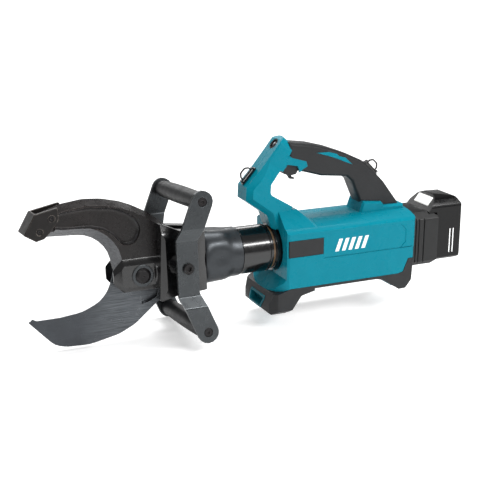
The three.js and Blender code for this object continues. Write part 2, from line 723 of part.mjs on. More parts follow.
function upperJaw() {
  const near = -JAW_THICKNESS - 0.6;
  const outline = [
    [-414, 66], [-425, 80], [-413, 99, 3], ...UPPER_BACK.slice(2), [-200.5, 38], [-201, 7, 7],
    [-206, -6, 6], [-226, -42, 20], [-264, -40, 16], [-282, -26, 12], [-291, -2, 16], [-296, 26, 50],
    ...UPPER_MOUTH,
  ];
  const scoop = [
    [-386, 83, 8], [-372, 79, 20], [-326, 78, 50], [-303, 72, 30], [-286, 60, 30], [-272, 42, 10],
    [-258, 46, 8], [-250, 62, 20], [-262, 82, 30], [-290, 94, 40], [-330, 98, 60], [-372, 95, 20],
    [-388, 90, 4],
  ];
  const mouth = [[-450, 62.5], [-450, -30], [-292, -30], [-292, -2, 16], [-296, 26, 50], ...UPPER_MOUTH];
  const back = [...UPPER_BACK, [-190, 150], [-440, 150]];
  return cut(
    plateY(outline, near, -GAP),
    slopeCutter(scoop, near, near + 7, 7, 3),
    slopeCutter(mouth, near, -1.2, 15),
    slopeCutter(back, near, -1.2, 9),
    plateY([[-450, 40], [-397.5, 40], [-377.5, 93], [-379.5, 130], [-450, 130]], near - 1, near + 6.8),
    tipScrewHole(0),
    tipScrewHole(1),
    linkRoom(-1),
    ...jawHoles(TAIL_PIN_RISE),
  );
}

function lowerJaw() {
  const outline = [
    [-434, -76], [-428.5, -69.5], [-421, -73.5], [-383, -73.5, 30], [-346, -69.5, 60], [-315, -56.5, 60],
    [-301, -40, 40], [-292, -19, 20], [-286, 0, 12], [-268, 13, 14], [-230, 12, 20], [-203, -29, 6],
    [-201, -42, 8], [-213, -68, 10], [-257.5, -103, 60], [-284.5, -115.5, 60], [-337, -126, 80],
    [-375, -124, 40], [-395, -118.5, 30], [-414, -98, 30],
  ];
  const mouth = [
    [-450, -69], [-421, -73.5], [-383, -73.5, 30], [-346, -69.5, 60], [-315, -56.5, 60], [-301, -40, 40],
    [-292, -19, 20], [-290, 20], [-450, 20],
  ];
  const far = JAW_THICKNESS + GAP;
  const bevel = solidOf(new THREE.ExtrudeGeometry(rounded(mouth), {
    depth: 0.5,
    steps: 1,
    bevelEnabled: true,
    bevelSize: 14,
    bevelThickness: JAW_THICKNESS - 1,
    bevelSegments: 1,
  }).rotateX(Math.PI / 2).translate(0, far + 0.5, 0));
  return cut(plateY(outline, GAP, far), bevel, linkRoom(1), ...jawHoles(-TAIL_PIN_RISE));
}

const TIP_SCREWS = [[-409.6, 74], [-389, 93.5]];

function tipScrewHole(index) {
  const [x, z] = TIP_SCREWS[index];
  return rodY(-24, -3, 2.9, x, z, 14);
}

function tipBlock() {
  const outline = [
    [-435, 71, 1.5], [-416, 102.5, 2], [-366, 112.5, 2], [-364, 106, 2], [-392, 72], [-403, 62.2],
    [-416, 59, 1.5],
  ];
  const pocket = [
    [-414.6, 50], [-414.6, 66], [-425.4, 80], [-413.3, 99.6], [-413.3, 130], [-350, 130], [-350, 50],
  ];
  const near = -JAW_THICKNESS - 0.9;
  return cut(
    plateY(outline, near, 26.5, [1, 1]),
    plateY(pocket, near + 6.8, 20.8),
    rodY(-0.1, 20.8, 197, PIVOT_X, PIVOT_Z, 96),
    plateY([[-398, 40], [-378, 93], [-380, 130], [-350, 130], [-350, 40]], near - 1, near + 8),
    tipScrewHole(0),
    tipScrewHole(1),
    ...TIP_SCREWS.map(([x, z]) => rodY(near - 1, near + 3, 5.2, x, z, 18)),
  );
}

function tipScrew(index) {
  const [x, z] = TIP_SCREWS[index];
  const head = -JAW_THICKNESS - 0.4;
  const profile = [
    [head, 0], [head, 4.2], [head + 0.5, 4.8], [head + 2.2, 4.8], [head + 2.2, 2.6], [-4, 2.6], [-4, 0],
  ];
  return cut(
    turnedY(profile, x, z, 18),
    rodY(head - 1, head + 1.4, 2, x, z, 6),
  );
}

function link(side) {
  const pinZ = side * TAIL_PIN_RISE;
  const [front, rear] = [-LINK_RADIUS - 1, LINK_LENGTH + LINK_RADIUS + 1];
  const geometry = extruded([
    [front, -LINK_RADIUS, LINK_RADIUS], [rear, -LINK_RADIUS, LINK_RADIUS],
    [rear, LINK_RADIUS, LINK_RADIUS], [front, LINK_RADIUS, LINK_RADIUS],
  ], 6.4);
  geometry.rotateX(Math.PI / 2).translate(0, side > 0 ? -1 : 7.4, 0);
  geometry.rotateY(side * LINK_ANGLE).translate(TAIL_PIN_X, 0, PIVOT_Z + pinZ);
  return cut(
    solidOf(geometry),
    rodY(-20, 20, PIN_RADIUS + GAP, TAIL_PIN_X, PIVOT_Z + pinZ, 20),
    rodY(-20, 20, PIN_RADIUS + 2.2, LINK_END_X, PIVOT_Z, 20),
  );
}

function tailPin(side) {
  const z = PIVOT_Z + side * TAIL_PIN_RISE;
  const span = [-side * 20.4, -side * 0.8].sort((a, b) => a - b);
  return rodY(...span, PIN_RADIUS, TAIL_PIN_X, z, 20);
}

function crosshead() {
  const outline = [[-173, -25, 6], [-173, -4, 6], [-162, 13], [-146.3, 13], [-146.3, -27], [-168, -27]];
  return cut(
    plateY(outline, -15, 15),
    box(-175, -150.6, -7.9, 7.9, -40, 20),
    rodY(-20, 20, PIN_RADIUS + GAP, CROSS_PIN_X, PIVOT_Z, 20),
  );
}

const crossPin = () => rodY(-15.6, 15.6, PIN_RADIUS, CROSS_PIN_X, PIVOT_Z, 20);

// ---- carrying handle on the head ---------------------------------------------------------------
const FOLD_Z = 46;

// a flat bar with round ends from one [x, z] to another
function flatBar([x0, z0], [x1, z1], half) {
  const along = new THREE.Vector2(x1 - x0, z1 - z0).setLength(half);
  const across = new THREE.Vector2(-along.y, along.x);
  const corner = (x, z, a, c) => [x + a * along.x + c * across.x, z + a * along.y + c * across.y, half];
  const start = [corner(x0, z0, -1, 1), corner(x0, z0, -1, -1)];
  const end = [corner(x1, z1, 1, -1), corner(x1, z1, 1, 1)];
  return plateY([...start, ...end], -105, 105);
}

function strap(side) {
  const half = STRAP_WIDTH / 2;
  const ends = [[BAR_X, BAR_Z], [STRAP_MIDDLE_X, FOLD_Z], [STRAP_MIDDLE_X, -FOLD_Z], [BAR_X, -BAR_Z]];
  const face = join(...[0, 1, 2].map((i) => flatBar(ends[i], ends[i + 1], half)));
  const inner = BOSS_END + GAP;
  const outer = STRAP_OUTER - STRAP_THICKNESS;
  const bend = [
    [outer, 130], [outer, 64, 6], [inner, 46, 6], [inner, -46, 6], [outer, -64, 6], [outer, -130],
  ];
  const section = [
    ...bend.map(([y, z, radius]) => [side * y, z, radius]),
    ...bend.slice().reverse().map(([y, z, radius]) => [side * (y + STRAP_THICKNESS), z, radius]),
  ];
  const sink = [side * (STRAP_OUTER - 3.4), side * 110].sort((a, b) => a - b);
  return cut(
    common(face, plateX(section, -230, -130)),
    ...[-BAR_Z, BAR_Z].map((z) => rodY(-110, 110, 4.2, BAR_X, z, 16)),
    ...(side < 0 ? [-BAR_Z, BAR_Z].map((z) => rodY(...sink, 8, BAR_X, z, 24)) : []),
    rodY(-110, 110, 5.3, STRAP_MIDDLE_X, 0, 16),
  );
}

function handleBar(side) {
  const end = STRAP_OUTER - STRAP_THICKNESS - GAP;
  const profile = [];
  const steps = 6;
  profile.push([-end, 0]);
  for (let k = 0; k <= steps; k += 1) {
    const t = (2 * k) / steps - 1;
    profile.push([t * end, BAR_RADIUS + 1.6 * (1 - t * t)]);
  }
  profile.push([end, 0]);
  return cut(turnedY(profile, BAR_X, side * BAR_Z, 22), rodY(-100, 100, 4.2, BAR_X, side * BAR_Z, 16));
}

// The bolt through a bar: its head lies sunk in the left strap, its thread ends in the right one.
function handleBolt(side) {
  const x = BAR_X;
  const z = side * BAR_Z;
  const face = -STRAP_OUTER + 0.2;
  return cut(
    turnedY([
      [face, 0], [face, 6.8], [face + 0.8, 7.6], [face + 2.9, 7.6], [face + 2.9, 4], [STRAP_OUTER - 0.6, 4],
      [STRAP_OUTER - 0.6, 0],
    ], x, z, 24),
    rodY(face - 1, face + 2, 2.8, x, z, 6),
  );
}

function middleBolt(side) {
  const seat = BOSS_END + STRAP_THICKNESS + 2 * GAP;
  const profile = [
    [BOSS_END - 15, 0], [BOSS_END - 15, 5], [seat, 5], [seat, 9], [seat + 4, 9], [seat + 5.4, 7.6],
    [seat + 5.4, 0],
  ].map(([y, radius]) => [side * y, radius]);
  const socket = [side * (seat + 1.4), side * (seat + 7)].sort((a, b) => a - b);
  return cut(turnedY(profile, STRAP_MIDDLE_X, 0, 24), rodY(...socket, 4.4, STRAP_MIDDLE_X, 0, 6));
}

// ---- housing screws ----------------------------------------------------------------------------
const HOUSING_SCREWS = [[24, -51], [196, 32]];

const SCREW_FACE = BODY_HALF - 6;

const screwHoles = () => HOUSING_SCREWS.flatMap(([x, z]) => [
  rodY(-SCREW_FACE, 80, 2.3, x, z, 12),
  rodY(SCREW_FACE, 80, 4.9, x, z, 16),
]);

const screwBosses = () => HOUSING_SCREWS.map(([x, z]) => (
  rodY(-BODY_HALF + 1.5, BODY_HALF - 1.5, 6.5, x, z, 14)
));

function housingScrew([x, z]) {
  const face = SCREW_FACE + GAP;
  const end = -SCREW_FACE + 2;
  return cut(
    turnedY([[end, 0], [end, 2], [face, 2], [face, 4.5], [face + 2.4, 4.5], [face + 2.4, 0]], x, z, 16),
    rodY(face + 1, face + 4, 1.8, x, z, 6),
  );
}

function sideOfMiddle(side) {
  const [near, far] = [side * GAP / 2, side * 100].sort((a, b) => a - b);
  return box(-200, 400, near, far, -200, 300);
}

// ---- assembly ----------------------------------------------------------------------------------
function piece(parent, name, solid, look) {
  const mesh = new THREE.Mesh(geometryOf(solid), look);
  mesh.name = name;
  parent.add(mesh);
  return mesh;
}

function moved(solid, x, z, angle) {
  return solidOf(geometryOf(solid).rotateY(angle).translate(x, 0, z));
}

const RINGS = {
  front: [-47.5, 132.4, THREE.MathUtils.degToRad(-48)],
  rear: [196.5, 125.5, THREE.MathUtils.degToRad(45)],
};

function addBody(root) {
  const tool = new THREE.Group();
  tool.position.set(FACE_X, 0, AXIS_HEIGHT);
  root.add(tool);
  const whole = cut(
    join(housing(), ...screwBosses()),
    ...screwHoles(),
    moved(rodX(-4, 8, LAMP_RADIUS + 0.4, 0, 24), ...LAMP),
  );
  piece(tool, 'housing_left', common(whole, sideOfMiddle(-1)), TEAL);
  piece(tool, 'housing_right', common(whole, sideOfMiddle(1)), TEAL);
  piece(tool, 'base_bumper', baseBumper(), RUBBER);
  piece(tool, 'front_foot', solePad(-15.7, 1.7, -AXIS_HEIGHT), TEAL);
  piece(tool, 'rear_foot', solePad(224.3, 239.7, REAR_SOLE), TEAL);
  piece(tool, 'front_socket', frontSocket(), TEAL);
  piece(tool, 'side_plate_left', sidePlate(-1), RUBBER);
  piece(tool, 'side_plate_right', sidePlate(1), RUBBER);
  piece(tool, 'grip', grip(), RUBBER);
  piece(tool, 'grip_inlay_left', inlayShape(-1), TEAL);
  piece(tool, 'grip_inlay_right', inlayShape(1), TEAL);
  piece(tool, 'trigger', trigger(), RUBBER);
  piece(tool, 'trigger_lock', triggerLock(), RUBBER);
  piece(tool, 'switch_body', switchBody(), BLACK_PLASTIC);
  piece(tool, 'lamp_bezel', moved(lampBezel(), ...LAMP), BLACK_PLASTIC);
  piece(tool, 'lamp_lens', moved(lampLens(), ...LAMP), LENS);
  for (const [end, place] of Object.entries(RINGS)) {
    piece(tool, `ring_bracket_${end}`, moved(lanyardBracket(), ...place), BLACK_PLASTIC);
    piece(tool, `lanyard_ring_${end}`, moved(lanyardRing(), ...place), DARK_STEEL);
  }
  HOUSING_SCREWS.forEach((at, i) => piece(tool, `housing_screw_${i + 1}`, housingScrew(at), DARK_STEEL));
  piece(tool, 'pump_block', pumpBlock(), CAST);
  piece(tool, 'oil_reservoir', oilReservoir(), BLACK_PLASTIC);
  piece(tool, 'gearbox', gearbox(), CAST);
  piece(tool, 'motor_stator', motorStator(), COPPER);
  piece(tool, 'motor_rotor', motorRotor(), BRIGHT);
  piece(tool, 'control_board', controlBoard(), BOARD);
  piece(tool, 'battery_mount', batteryMount(), GREY_PLASTIC);
  piece(tool, 'terminal_block', terminalBlock(), BRONZE);
  piece(tool, 'battery_case', batteryCase(), BLACK_PLASTIC);
  piece(tool, 'battery_latch', latchShape(), WHITE_PLASTIC);
}

function addHead(root) {
  const head = new THREE.Group();
  head.position.set(FACE_X, 0, AXIS_HEIGHT);
  head.rotation.x = HEAD_ROLL;
  root.add(head);
  piece(head, 'cylinder_tube', cylinderTube(), GLOSS_STEEL);
  piece(head, 'rod_gland', gland(), BRONZE);
  piece(head, 'piston', piston(), BRIGHT);
  piece(head, 'return_spring', returnSpring(), DARK_STEEL);
  piece(head, 'head_dome', dome(), CAST);
  piece(head, 'head_fork', fork(), GLOSS_STEEL);
  piece(head, 'pivot_bolt', pivotBolt(), DARK_STEEL);
  piece(head, 'pivot_washer', pivotWasher(), SATIN_STEEL);
  piece(head, 'pivot_nut', pivotNut(), DARK_STEEL);
  piece(head, 'upper_jaw', upperJaw(), DARK_STEEL);
  piece(head, 'tip_block', tipBlock(), DARK_STEEL);
  piece(head, 'tip_screw_1', tipScrew(0), DARK_STEEL);
  piece(head, 'tip_screw_2', tipScrew(1), DARK_STEEL);
  piece(head, 'lower_jaw', lowerJaw(), BLADE);
  piece(head, 'upper_link', link(1), SATIN_STEEL);
  piece(head, 'lower_link', link(-1), SATIN_STEEL);
  piece(head, 'upper_tail_pin', tailPin(1), BRIGHT);
  piece(head, 'lower_tail_pin', tailPin(-1), BRIGHT);
  piece(head, 'crosshead', crosshead(), SATIN_STEEL);
  piece(head, 'cross_pin', crossPin(), BRIGHT);
  piece(head, 'handle_strap_left', strap(-1), SATIN_STEEL);
  piece(head, 'handle_strap_right', strap(1), SATIN_STEEL);
  piece(head, 'handle_bar_upper', handleBar(1), RUBBER);
  piece(head, 'handle_bar_lower', handleBar(-1), RUBBER);
  piece(head, 'handle_bolt_upper', handleBolt(1), DARK_STEEL);
  piece(head, 'handle_bolt_lower', handleBolt(-1), DARK_STEEL);
  piece(head, 'middle_bolt_left', middleBolt(-1), DARK_STEEL);
  piece(head, 'middle_bolt_right', middleBolt(1), DARK_STEEL);
}

const root = new THREE.Group();
root.name = 'rescue_cutter';
addBody(root);
addHead(root);
export default root;
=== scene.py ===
"""Looks for the rescue cutter: smooth edges, procedural materials, fine details, studio and camera."""

import json
import math

import bpy
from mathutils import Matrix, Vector


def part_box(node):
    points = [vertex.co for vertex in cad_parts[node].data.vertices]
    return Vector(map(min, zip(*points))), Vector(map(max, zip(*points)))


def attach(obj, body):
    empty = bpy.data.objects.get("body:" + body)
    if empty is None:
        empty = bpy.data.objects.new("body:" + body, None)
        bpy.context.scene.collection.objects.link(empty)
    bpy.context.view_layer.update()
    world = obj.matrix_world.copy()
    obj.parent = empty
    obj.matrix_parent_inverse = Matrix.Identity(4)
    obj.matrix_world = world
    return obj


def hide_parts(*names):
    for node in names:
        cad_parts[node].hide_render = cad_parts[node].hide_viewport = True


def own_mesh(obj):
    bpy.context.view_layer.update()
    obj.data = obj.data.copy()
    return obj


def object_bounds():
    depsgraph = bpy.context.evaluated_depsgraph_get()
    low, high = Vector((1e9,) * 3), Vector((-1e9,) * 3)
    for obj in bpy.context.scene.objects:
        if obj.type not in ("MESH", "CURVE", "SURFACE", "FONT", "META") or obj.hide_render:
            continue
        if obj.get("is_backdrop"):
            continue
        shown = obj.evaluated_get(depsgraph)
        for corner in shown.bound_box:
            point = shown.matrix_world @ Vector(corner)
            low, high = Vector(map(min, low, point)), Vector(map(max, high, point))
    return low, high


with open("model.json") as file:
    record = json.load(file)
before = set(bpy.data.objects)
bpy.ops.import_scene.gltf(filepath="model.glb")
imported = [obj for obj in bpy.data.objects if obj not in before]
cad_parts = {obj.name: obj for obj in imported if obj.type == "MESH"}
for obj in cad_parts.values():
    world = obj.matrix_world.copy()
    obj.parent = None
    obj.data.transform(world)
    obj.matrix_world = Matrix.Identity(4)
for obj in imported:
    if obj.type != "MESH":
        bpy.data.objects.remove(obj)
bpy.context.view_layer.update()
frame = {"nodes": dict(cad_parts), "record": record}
nodes = frame["nodes"]
MM = 0.001

# a point on the cylinder's axis, and where the tube's groove starts and ends along X
TUBE_LOW, TUBE_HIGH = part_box("cylinder_tube")
AXIS = (TUBE_LOW + TUBE_HIGH) / 2
GROOVE = (TUBE_HIGH.x - 73 * MM, TUBE_HIGH.x - 70 * MM)
# how far the head is rolled about that axis, and the way the jaws' pivot then points
HEAD_ROLL = math.radians(-5.76)
PIVOT_AXIS = (0, math.cos(HEAD_ROLL), math.sin(HEAD_ROLL))


# ---- smoothing of the CAD pieces ------------------------------------------------------------
# corners closer than this are one, faces this close to flat are one, and sharper edges than these
# are rounded or left sharp in the shading
WELD_GAP = 0.004 * MM
FLAT_ANGLE = math.radians(0.4)
ROUNDED_ANGLE = math.radians(28)
SHARP_ANGLE = math.radians(40)


def smooth_by_angle():
    """A node group that shades smooth, except across edges sharper than its angle."""
    tree = bpy.data.node_groups.new("smooth_by_angle", "GeometryNodeTree")
    tree.interface.new_socket("Geometry", in_out="INPUT", socket_type="NodeSocketGeometry")
    tree.interface.new_socket("Angle", in_out="INPUT", socket_type="NodeSocketFloat")
    tree.interface.new_socket("Geometry", in_out="OUTPUT", socket_type="NodeSocketGeometry")
    start = tree.nodes.new("NodeGroupInput")
    end = tree.nodes.new("NodeGroupOutput")
    angle = tree.nodes.new("GeometryNodeInputMeshEdgeAngle")
    sharp = tree.nodes.new("FunctionNodeCompare")
    sharp.operation = "GREATER_THAN"
    faces = tree.nodes.new("GeometryNodeSetShadeSmooth")
    edges = tree.nodes.new("GeometryNodeSetShadeSmooth")
    edges.domain = "EDGE"
    edges.inputs["Shade Smooth"].default_value = False
    tree.links.new(start.outputs[0], faces.inputs["Geometry"])
    tree.links.new(faces.outputs[0], edges.inputs["Geometry"])
    tree.links.new(angle.outputs["Unsigned Angle"], sharp.inputs[0])
    tree.links.new(start.outputs[1], sharp.inputs[1])
    tree.links.new(sharp.outputs[0], edges.inputs["Selection"])
    tree.links.new(edges.outputs[0], end.inputs[0])
    return tree


SMOOTHER = smooth_by_angle()


def soften(piece, width, flat=True):
    """Welds the facets of a piece, rounds its edges by width millimetres and shades it smooth."""
    for name in ("custom_normal", "sharp_face", "sharp_edge"):
        if name in piece.data.attributes:
            piece.data.attributes.remove(piece.data.attributes[name])
    weld = piece.modifiers.new("weld", "WELD")
    weld.merge_threshold = WELD_GAP
    if flat:
        plain = piece.modifiers.new("flat_faces", "DECIMATE")
        plain.decimate_type = "DISSOLVE"
        plain.angle_limit = FLAT_ANGLE
    if width:
        bevel = piece.modifiers.new("edges", "BEVEL")
        bevel.width = width * MM
        bevel.segments = 2
        bevel.limit_method = "ANGLE"
        bevel.angle_limit = ROUNDED_ANGLE
        bevel.use_clamp_overlap = True
        bevel.miter_outer = "MITER_ARC"
    shade = piece.modifiers.new("shading", "NODES")
    shade.node_group = SMOOTHER
    shade[SMOOTHER.interface.items_tree["Angle"].identifier] = SHARP_ANGLE
    normals = piece.modifiers.new("normals", "WEIGHTED_NORMAL")
    normals.keep_sharp = True


# ---- materials --------------------------------------------------------------------------------
def srgb(code):
    """Linear colour from a hexadecimal screen colour."""
    parts = [int(code[i:i + 2], 16) / 255 for i in (0, 2, 4)]
    return [c / 12.92 if c <= 0.04045 else ((c + 0.055) / 1.055) ** 2.4 for c in parts] + [1.0]


def wire(tree, kind, inputs=None, output=0, **settings):
    """Adds a shader node; inputs maps a socket to a value or to another node's output."""
    made = tree.nodes.new(kind)
    for key, value in settings.items():
        setattr(made, key, value)
    for key, value in (inputs or {}).items():
        if isinstance(value, bpy.types.NodeSocket):
            tree.links.new(value, made.inputs[key])
        else:
            made.inputs[key].default_value = value
    return made.outputs[output]


def place(tree):
    return wire(tree, "ShaderNodeTexCoord", output="Object")


def noise(tree, size, detail=3, stretch=(1, 1, 1)):
    """Noise with features about size metres across, stretched along the axes."""
    vector = wire(tree, "ShaderNodeMapping", {"Vector": place(tree), "Scale": stretch})
    return wire(tree, "ShaderNodeTexNoise", {"Vector": vector, "Scale": 1 / size, "Detail": detail})


def ramp(tree, value, low, high, out_low=0.0, out_high=1.0):
    return wire(tree, "ShaderNodeMapRange", {
        "Value": value, "From Min": low, "From Max": high, "To Min": out_low, "To Max": out_high})


def times(tree, a, b):
    return wire(tree, "ShaderNodeMath", {0: a, 1: b}, operation="MULTIPLY")


def mix_colour(tree, factor, a, b):
    made = tree.nodes.new("ShaderNodeMix")
    made.data_type = "RGBA"
    sockets = {0: factor, 6: a, 7: b}
    for key, value in sockets.items():
        if isinstance(value, bpy.types.NodeSocket):
            tree.links.new(value, made.inputs[key])
        else:
            made.inputs[key].default_value = value
    return made.outputs[2]


def edge_mask(tree, radius):
    """1 along edges, from how far the rounded normal leans from the surface's own."""
    rounded = wire(tree, "ShaderNodeBevel", {"Radius": radius * MM}, samples=6)
    own = wire(tree, "ShaderNodeNewGeometry", output="Normal")
    lean = wire(tree, "ShaderNodeVectorMath", {0: rounded, 1: own}, output="Value", operation="DOT_PRODUCT")
    # cosines of the lean at which the mask starts and is full
    starts, full = 0.99, 0.84
    return ramp(tree, lean, starts, full)


def tint(colour, factor):
    return [min(1.0, c * factor) for c in colour[:3]] + [1.0]


def surface(name, colour, roughness, metallic=0.0, coat=0.0, mottle=0.12, grain=0.6, depth=0.04,
            stretch=(1, 1, 1), worn=None, wear=0.5, wear_width=1.2, spread=0.08, shine=0.5, zones=()):
    """A procedural material: broad and fine colour variation, grain as bump, worn edges, zones.

    grain and depth are the size and height of the grain in millimetres, and stretch draws it out
    along the axes. The roughness wanders by spread, mottle is how much the colour varies, shine is
    the specular level and coat a clear coat. worn is the colour of rubbed edges, wear how strongly
    it shows and wear_width how wide, in millimetres. Each zone is a function
    (tree, colour, roughness) that paints a region and returns both.
    """
    made = bpy.data.materials.new(name)
    made.use_nodes = True
    tree = made.node_tree
    shader = tree.nodes["Principled BSDF"]
    broad = noise(tree, 0.035, 4)
    fine = noise(tree, grain * MM, 3, stretch)
    streak = noise(tree, grain * 6 * MM, 2, stretch)
    shade = mix_colour(tree, ramp(tree, broad, 0.3, 0.7), tint(colour, 1 - mottle), tint(colour, 1 + mottle))
    shade = mix_colour(tree, ramp(tree, streak, 0.3, 0.7, 0.0, 0.35), shade, tint(colour, 1 - 1.5 * mottle))
    gloss = ramp(tree, noise(tree, 0.012, 5), 0.25, 0.75, roughness - spread, roughness + spread)
    if worn:
        rubbed = ramp(tree, noise(tree, 0.006, 5), 0.35, 0.62)
        mask = times(tree, times(tree, edge_mask(tree, wear_width), rubbed), wear)
        shade = mix_colour(tree, mask, shade, worn)
    for zone in zones:
        shade, gloss = zone(tree, shade, gloss)
    bump = wire(tree, "ShaderNodeBump", {
        "Height": fine, "Distance": depth * MM, "Strength": 0.6})
    tree.links.new(shade, shader.inputs["Base Color"])
    tree.links.new(gloss, shader.inputs["Roughness"])
    tree.links.new(bump, shader.inputs["Normal"])
    shader.inputs["Metallic"].default_value = metallic
    shader.inputs["Specular IOR Level"].default_value = shine
    shader.inputs["Coat Weight"].default_value = coat
    shader.inputs["Coat Roughness"].default_value = 0.12
    return made


def along_x(tree, start, end):
    """1 between two places along X, given in metres, with soft ends."""
    soft = 0.6 * MM
    x = wire(tree, "ShaderNodeSeparateXYZ", {0: place(tree)}, output="X")
    rising = ramp(tree, x, start - soft, start + soft)
    falling = ramp(tree, x, end - soft, end + soft, 1.0, 0.0)
    return times(tree, rising, falling)


def bronze_groove(tree, shade, gloss):
    """The groove of the tube shows a bronze ring."""
    mask = along_x(tree, *GROOVE)
    return mix_colour(tree, mask, shade, srgb("6a5138")), gloss


def dark_root(tree, shade, gloss):
    """The jaw darkens towards its root."""
    x = wire(tree, "ShaderNodeSeparateXYZ", {0: place(tree)}, output="X")
    blotch = ramp(tree, noise(tree, 0.03, 4), 0.3, 0.7, -0.015, 0.015)
    wandering = wire(tree, "ShaderNodeMath", {0: x, 1: blotch}, operation="ADD")
    mask = ramp(tree, wandering, JAW_ROOT.x - 120 * MM, JAW_ROOT.x - 50 * MM, 0.0, 0.85)
    return mix_colour(tree, mask, shade, srgb("0c0909")), gloss


def ground_root(tree, shade, gloss):
    """Diagonal grinding marks near the blade's root, lighter than the rest."""
    x = wire(tree, "ShaderNodeSeparateXYZ", {0: place(tree)}, output="X")
    near_root = ramp(tree, x, BLADE_ROOT.x - 150 * MM, BLADE_ROOT.x - 90 * MM)
    turned = wire(tree, "ShaderNodeMapping", {
        "Vector": place(tree), "Rotation": (0, math.radians(-35), 0), "Scale": (0.02, 1, 1)})
    lines = wire(tree, "ShaderNodeTexNoise", {"Vector": turned, "Scale": 1400, "Detail": 2})
    mask = times(tree, near_root, ramp(tree, lines, 0.4, 0.62, 0.05, 0.35))
    return mix_colour(tree, mask, shade, srgb("8d9296")), gloss


def ground_bevel(colour, share):
    """A zone along the cutting edge: its slope leans by one angle from the flat of the jaw."""
    def zone(tree, shade, gloss):
        own = wire(tree, "ShaderNodeTexCoord", output="Normal")
        lean = wire(tree, "ShaderNodeVectorMath", {0: own, 1: PIVOT_AXIS}, output="Value",
                    operation="DOT_PRODUCT")
        rising = ramp(tree, lean, -0.72, -0.67)
        falling = ramp(tree, lean, -0.53, -0.48, 1.0, 0.0)
        streaks = ramp(tree, noise(tree, 0.004, 3, (0.15, 1, 1)), 0.3, 0.7, 0.6, 1.0)
        mask = times(tree, times(tree, rising, falling), times(tree, streaks, share))
        return mix_colour(tree, mask, shade, srgb(colour)), gloss
    return zone


def bars(low, high, pitch, share, shear, side=-1):
    """A zone of plain slanted bars between two corners (x, z), painted on one flank, in metres."""
    # a flank starts this far from the middle
    flank = 0.03
    def zone(tree, shade, gloss):
        split = tree.nodes.new("ShaderNodeSeparateXYZ")
        tree.links.new(place(tree), split.inputs[0])
        x, y, z = split.outputs
        lean = wire(tree, "ShaderNodeMath", {0: z, 1: -shear, 2: x}, operation="MULTIPLY_ADD")
        start = low[0] - shear * low[1]
        count = wire(tree, "ShaderNodeMath", {0: lean, 1: 1 / pitch, 2: -start / pitch},
                     operation="MULTIPLY_ADD")
        part = wire(tree, "ShaderNodeMath", {0: count}, operation="FRACT")
        mask = wire(tree, "ShaderNodeMath", {0: part, 1: share}, operation="LESS_THAN")
        limits = [(count, 0, 1), (count, round((high[0] - low[0]) / pitch), -1), (z, low[1], 1),
                  (z, high[1], -1), (times(tree, y, side), flank, 1)]
        for value, limit, sign in limits:
            kind = "GREATER_THAN" if sign > 0 else "LESS_THAN"
            mask = times(tree, mask, wire(tree, "ShaderNodeMath", {0: value, 1: limit}, operation=kind))
        return mix_colour(tree, mask, shade, srgb("f4f5f4")), gloss
    return zone


BODY_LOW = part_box("housing_left")[0]
PACK_LOW, PACK_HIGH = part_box("battery_case")
JAW_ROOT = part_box("upper_jaw")[1]
BLADE_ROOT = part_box("lower_jaw")[1]
SIDE_MARK = ((BODY_LOW.x + 150 * MM, AXIS.z - 4 * MM), (BODY_LOW.x + 215 * MM, AXIS.z + 18 * MM))
PACK_MARK = ((PACK_HIGH.x - 28 * MM, PACK_LOW.z + 12 * MM), (PACK_HIGH.x - 14 * MM, PACK_LOW.z + 58 * MM))


def teal_shell():
    return surface("teal_shell", srgb("00788a"), 0.3, mottle=0.03, grain=0.5, depth=0.02, shine=0.12,
                   worn=srgb("27a3b5"), wear=0.35, wear_width=1.2,
                   zones=(bars(*SIDE_MARK, 13 * MM, 0.55, 0.35),))


def moulded_rubber():
    return surface("moulded_rubber", srgb("17181a"), 0.46, mottle=0.15, grain=0.7, depth=0.06, shine=0.4,
                   worn=srgb("46484c"), wear=0.5)


def gloss_black():
    return surface("gloss_black", srgb("0a0b0c"), 0.2, mottle=0.1, grain=0.4, depth=0.006, coat=0.35,
                   worn=srgb("303235"), wear=0.4, spread=0.05)


def adapter_plastic():
    return surface("adapter_plastic", srgb("0c0d0e"), 0.36, mottle=0.1, grain=0.5, depth=0.03, shine=0.4,
                   worn=srgb("3a3c3f"), wear=0.5)


def satin_strap():
    return surface("satin_strap", srgb("45484a"), 0.3, metallic=0.75, mottle=0.1, grain=0.5, depth=0.02,
                   worn=srgb("8b9094"), wear=0.6)


def blackened_steel():
    return surface("blackened_steel", srgb("1c1a1b"), 0.34, metallic=0.5, mottle=0.2, grain=0.6,
                   depth=0.03, worn=srgb("6d6765"), wear=0.6)


def gloss_steel():
    return surface("gloss_steel", srgb("060607"), 0.2, mottle=0.15, grain=0.5, depth=0.006, coat=0.45,
                   worn=srgb("3a3d40"), wear=0.4, spread=0.05, zones=(bronze_groove,))


def cast_head():
    return surface("cast_head", srgb("3c3f42"), 0.34, metallic=0.7, mottle=0.12, grain=0.9, depth=0.06,
                   worn=srgb("5c6063"), wear=0.5)


def machined_blade():
    return surface("machined_blade", srgb("43464a"), 0.32, metallic=0.75, mottle=0.14, grain=0.35,
                   depth=0.03, stretch=(0.12, 1, 1), worn=srgb("b2b6ba"), wear=0.8,
                   zones=(ground_root, ground_bevel("9ba0a4", 0.5)))


def ground_steel():
    return surface("ground_steel", srgb("a7abae"), 0.22, metallic=1.0, grain=0.3, depth=0.01)


def turned_bronze():
    return surface("turned_bronze", srgb("8a6a44"), 0.35, metallic=1.0)


def wound_copper():
    return surface("wound_copper", srgb("9a5b34"), 0.4, metallic=0.9)


def white_button():
    return surface("white_button", srgb("fbfbf8"), 0.4, mottle=0.03)


def coated_board():
    return surface("coated_board", srgb("1d5a34"), 0.5)


def lamp_lens():
    return surface("lamp_lens", srgb("2b2b33"), 0.08, coat=1.0, mottle=0.02, spread=0.02)


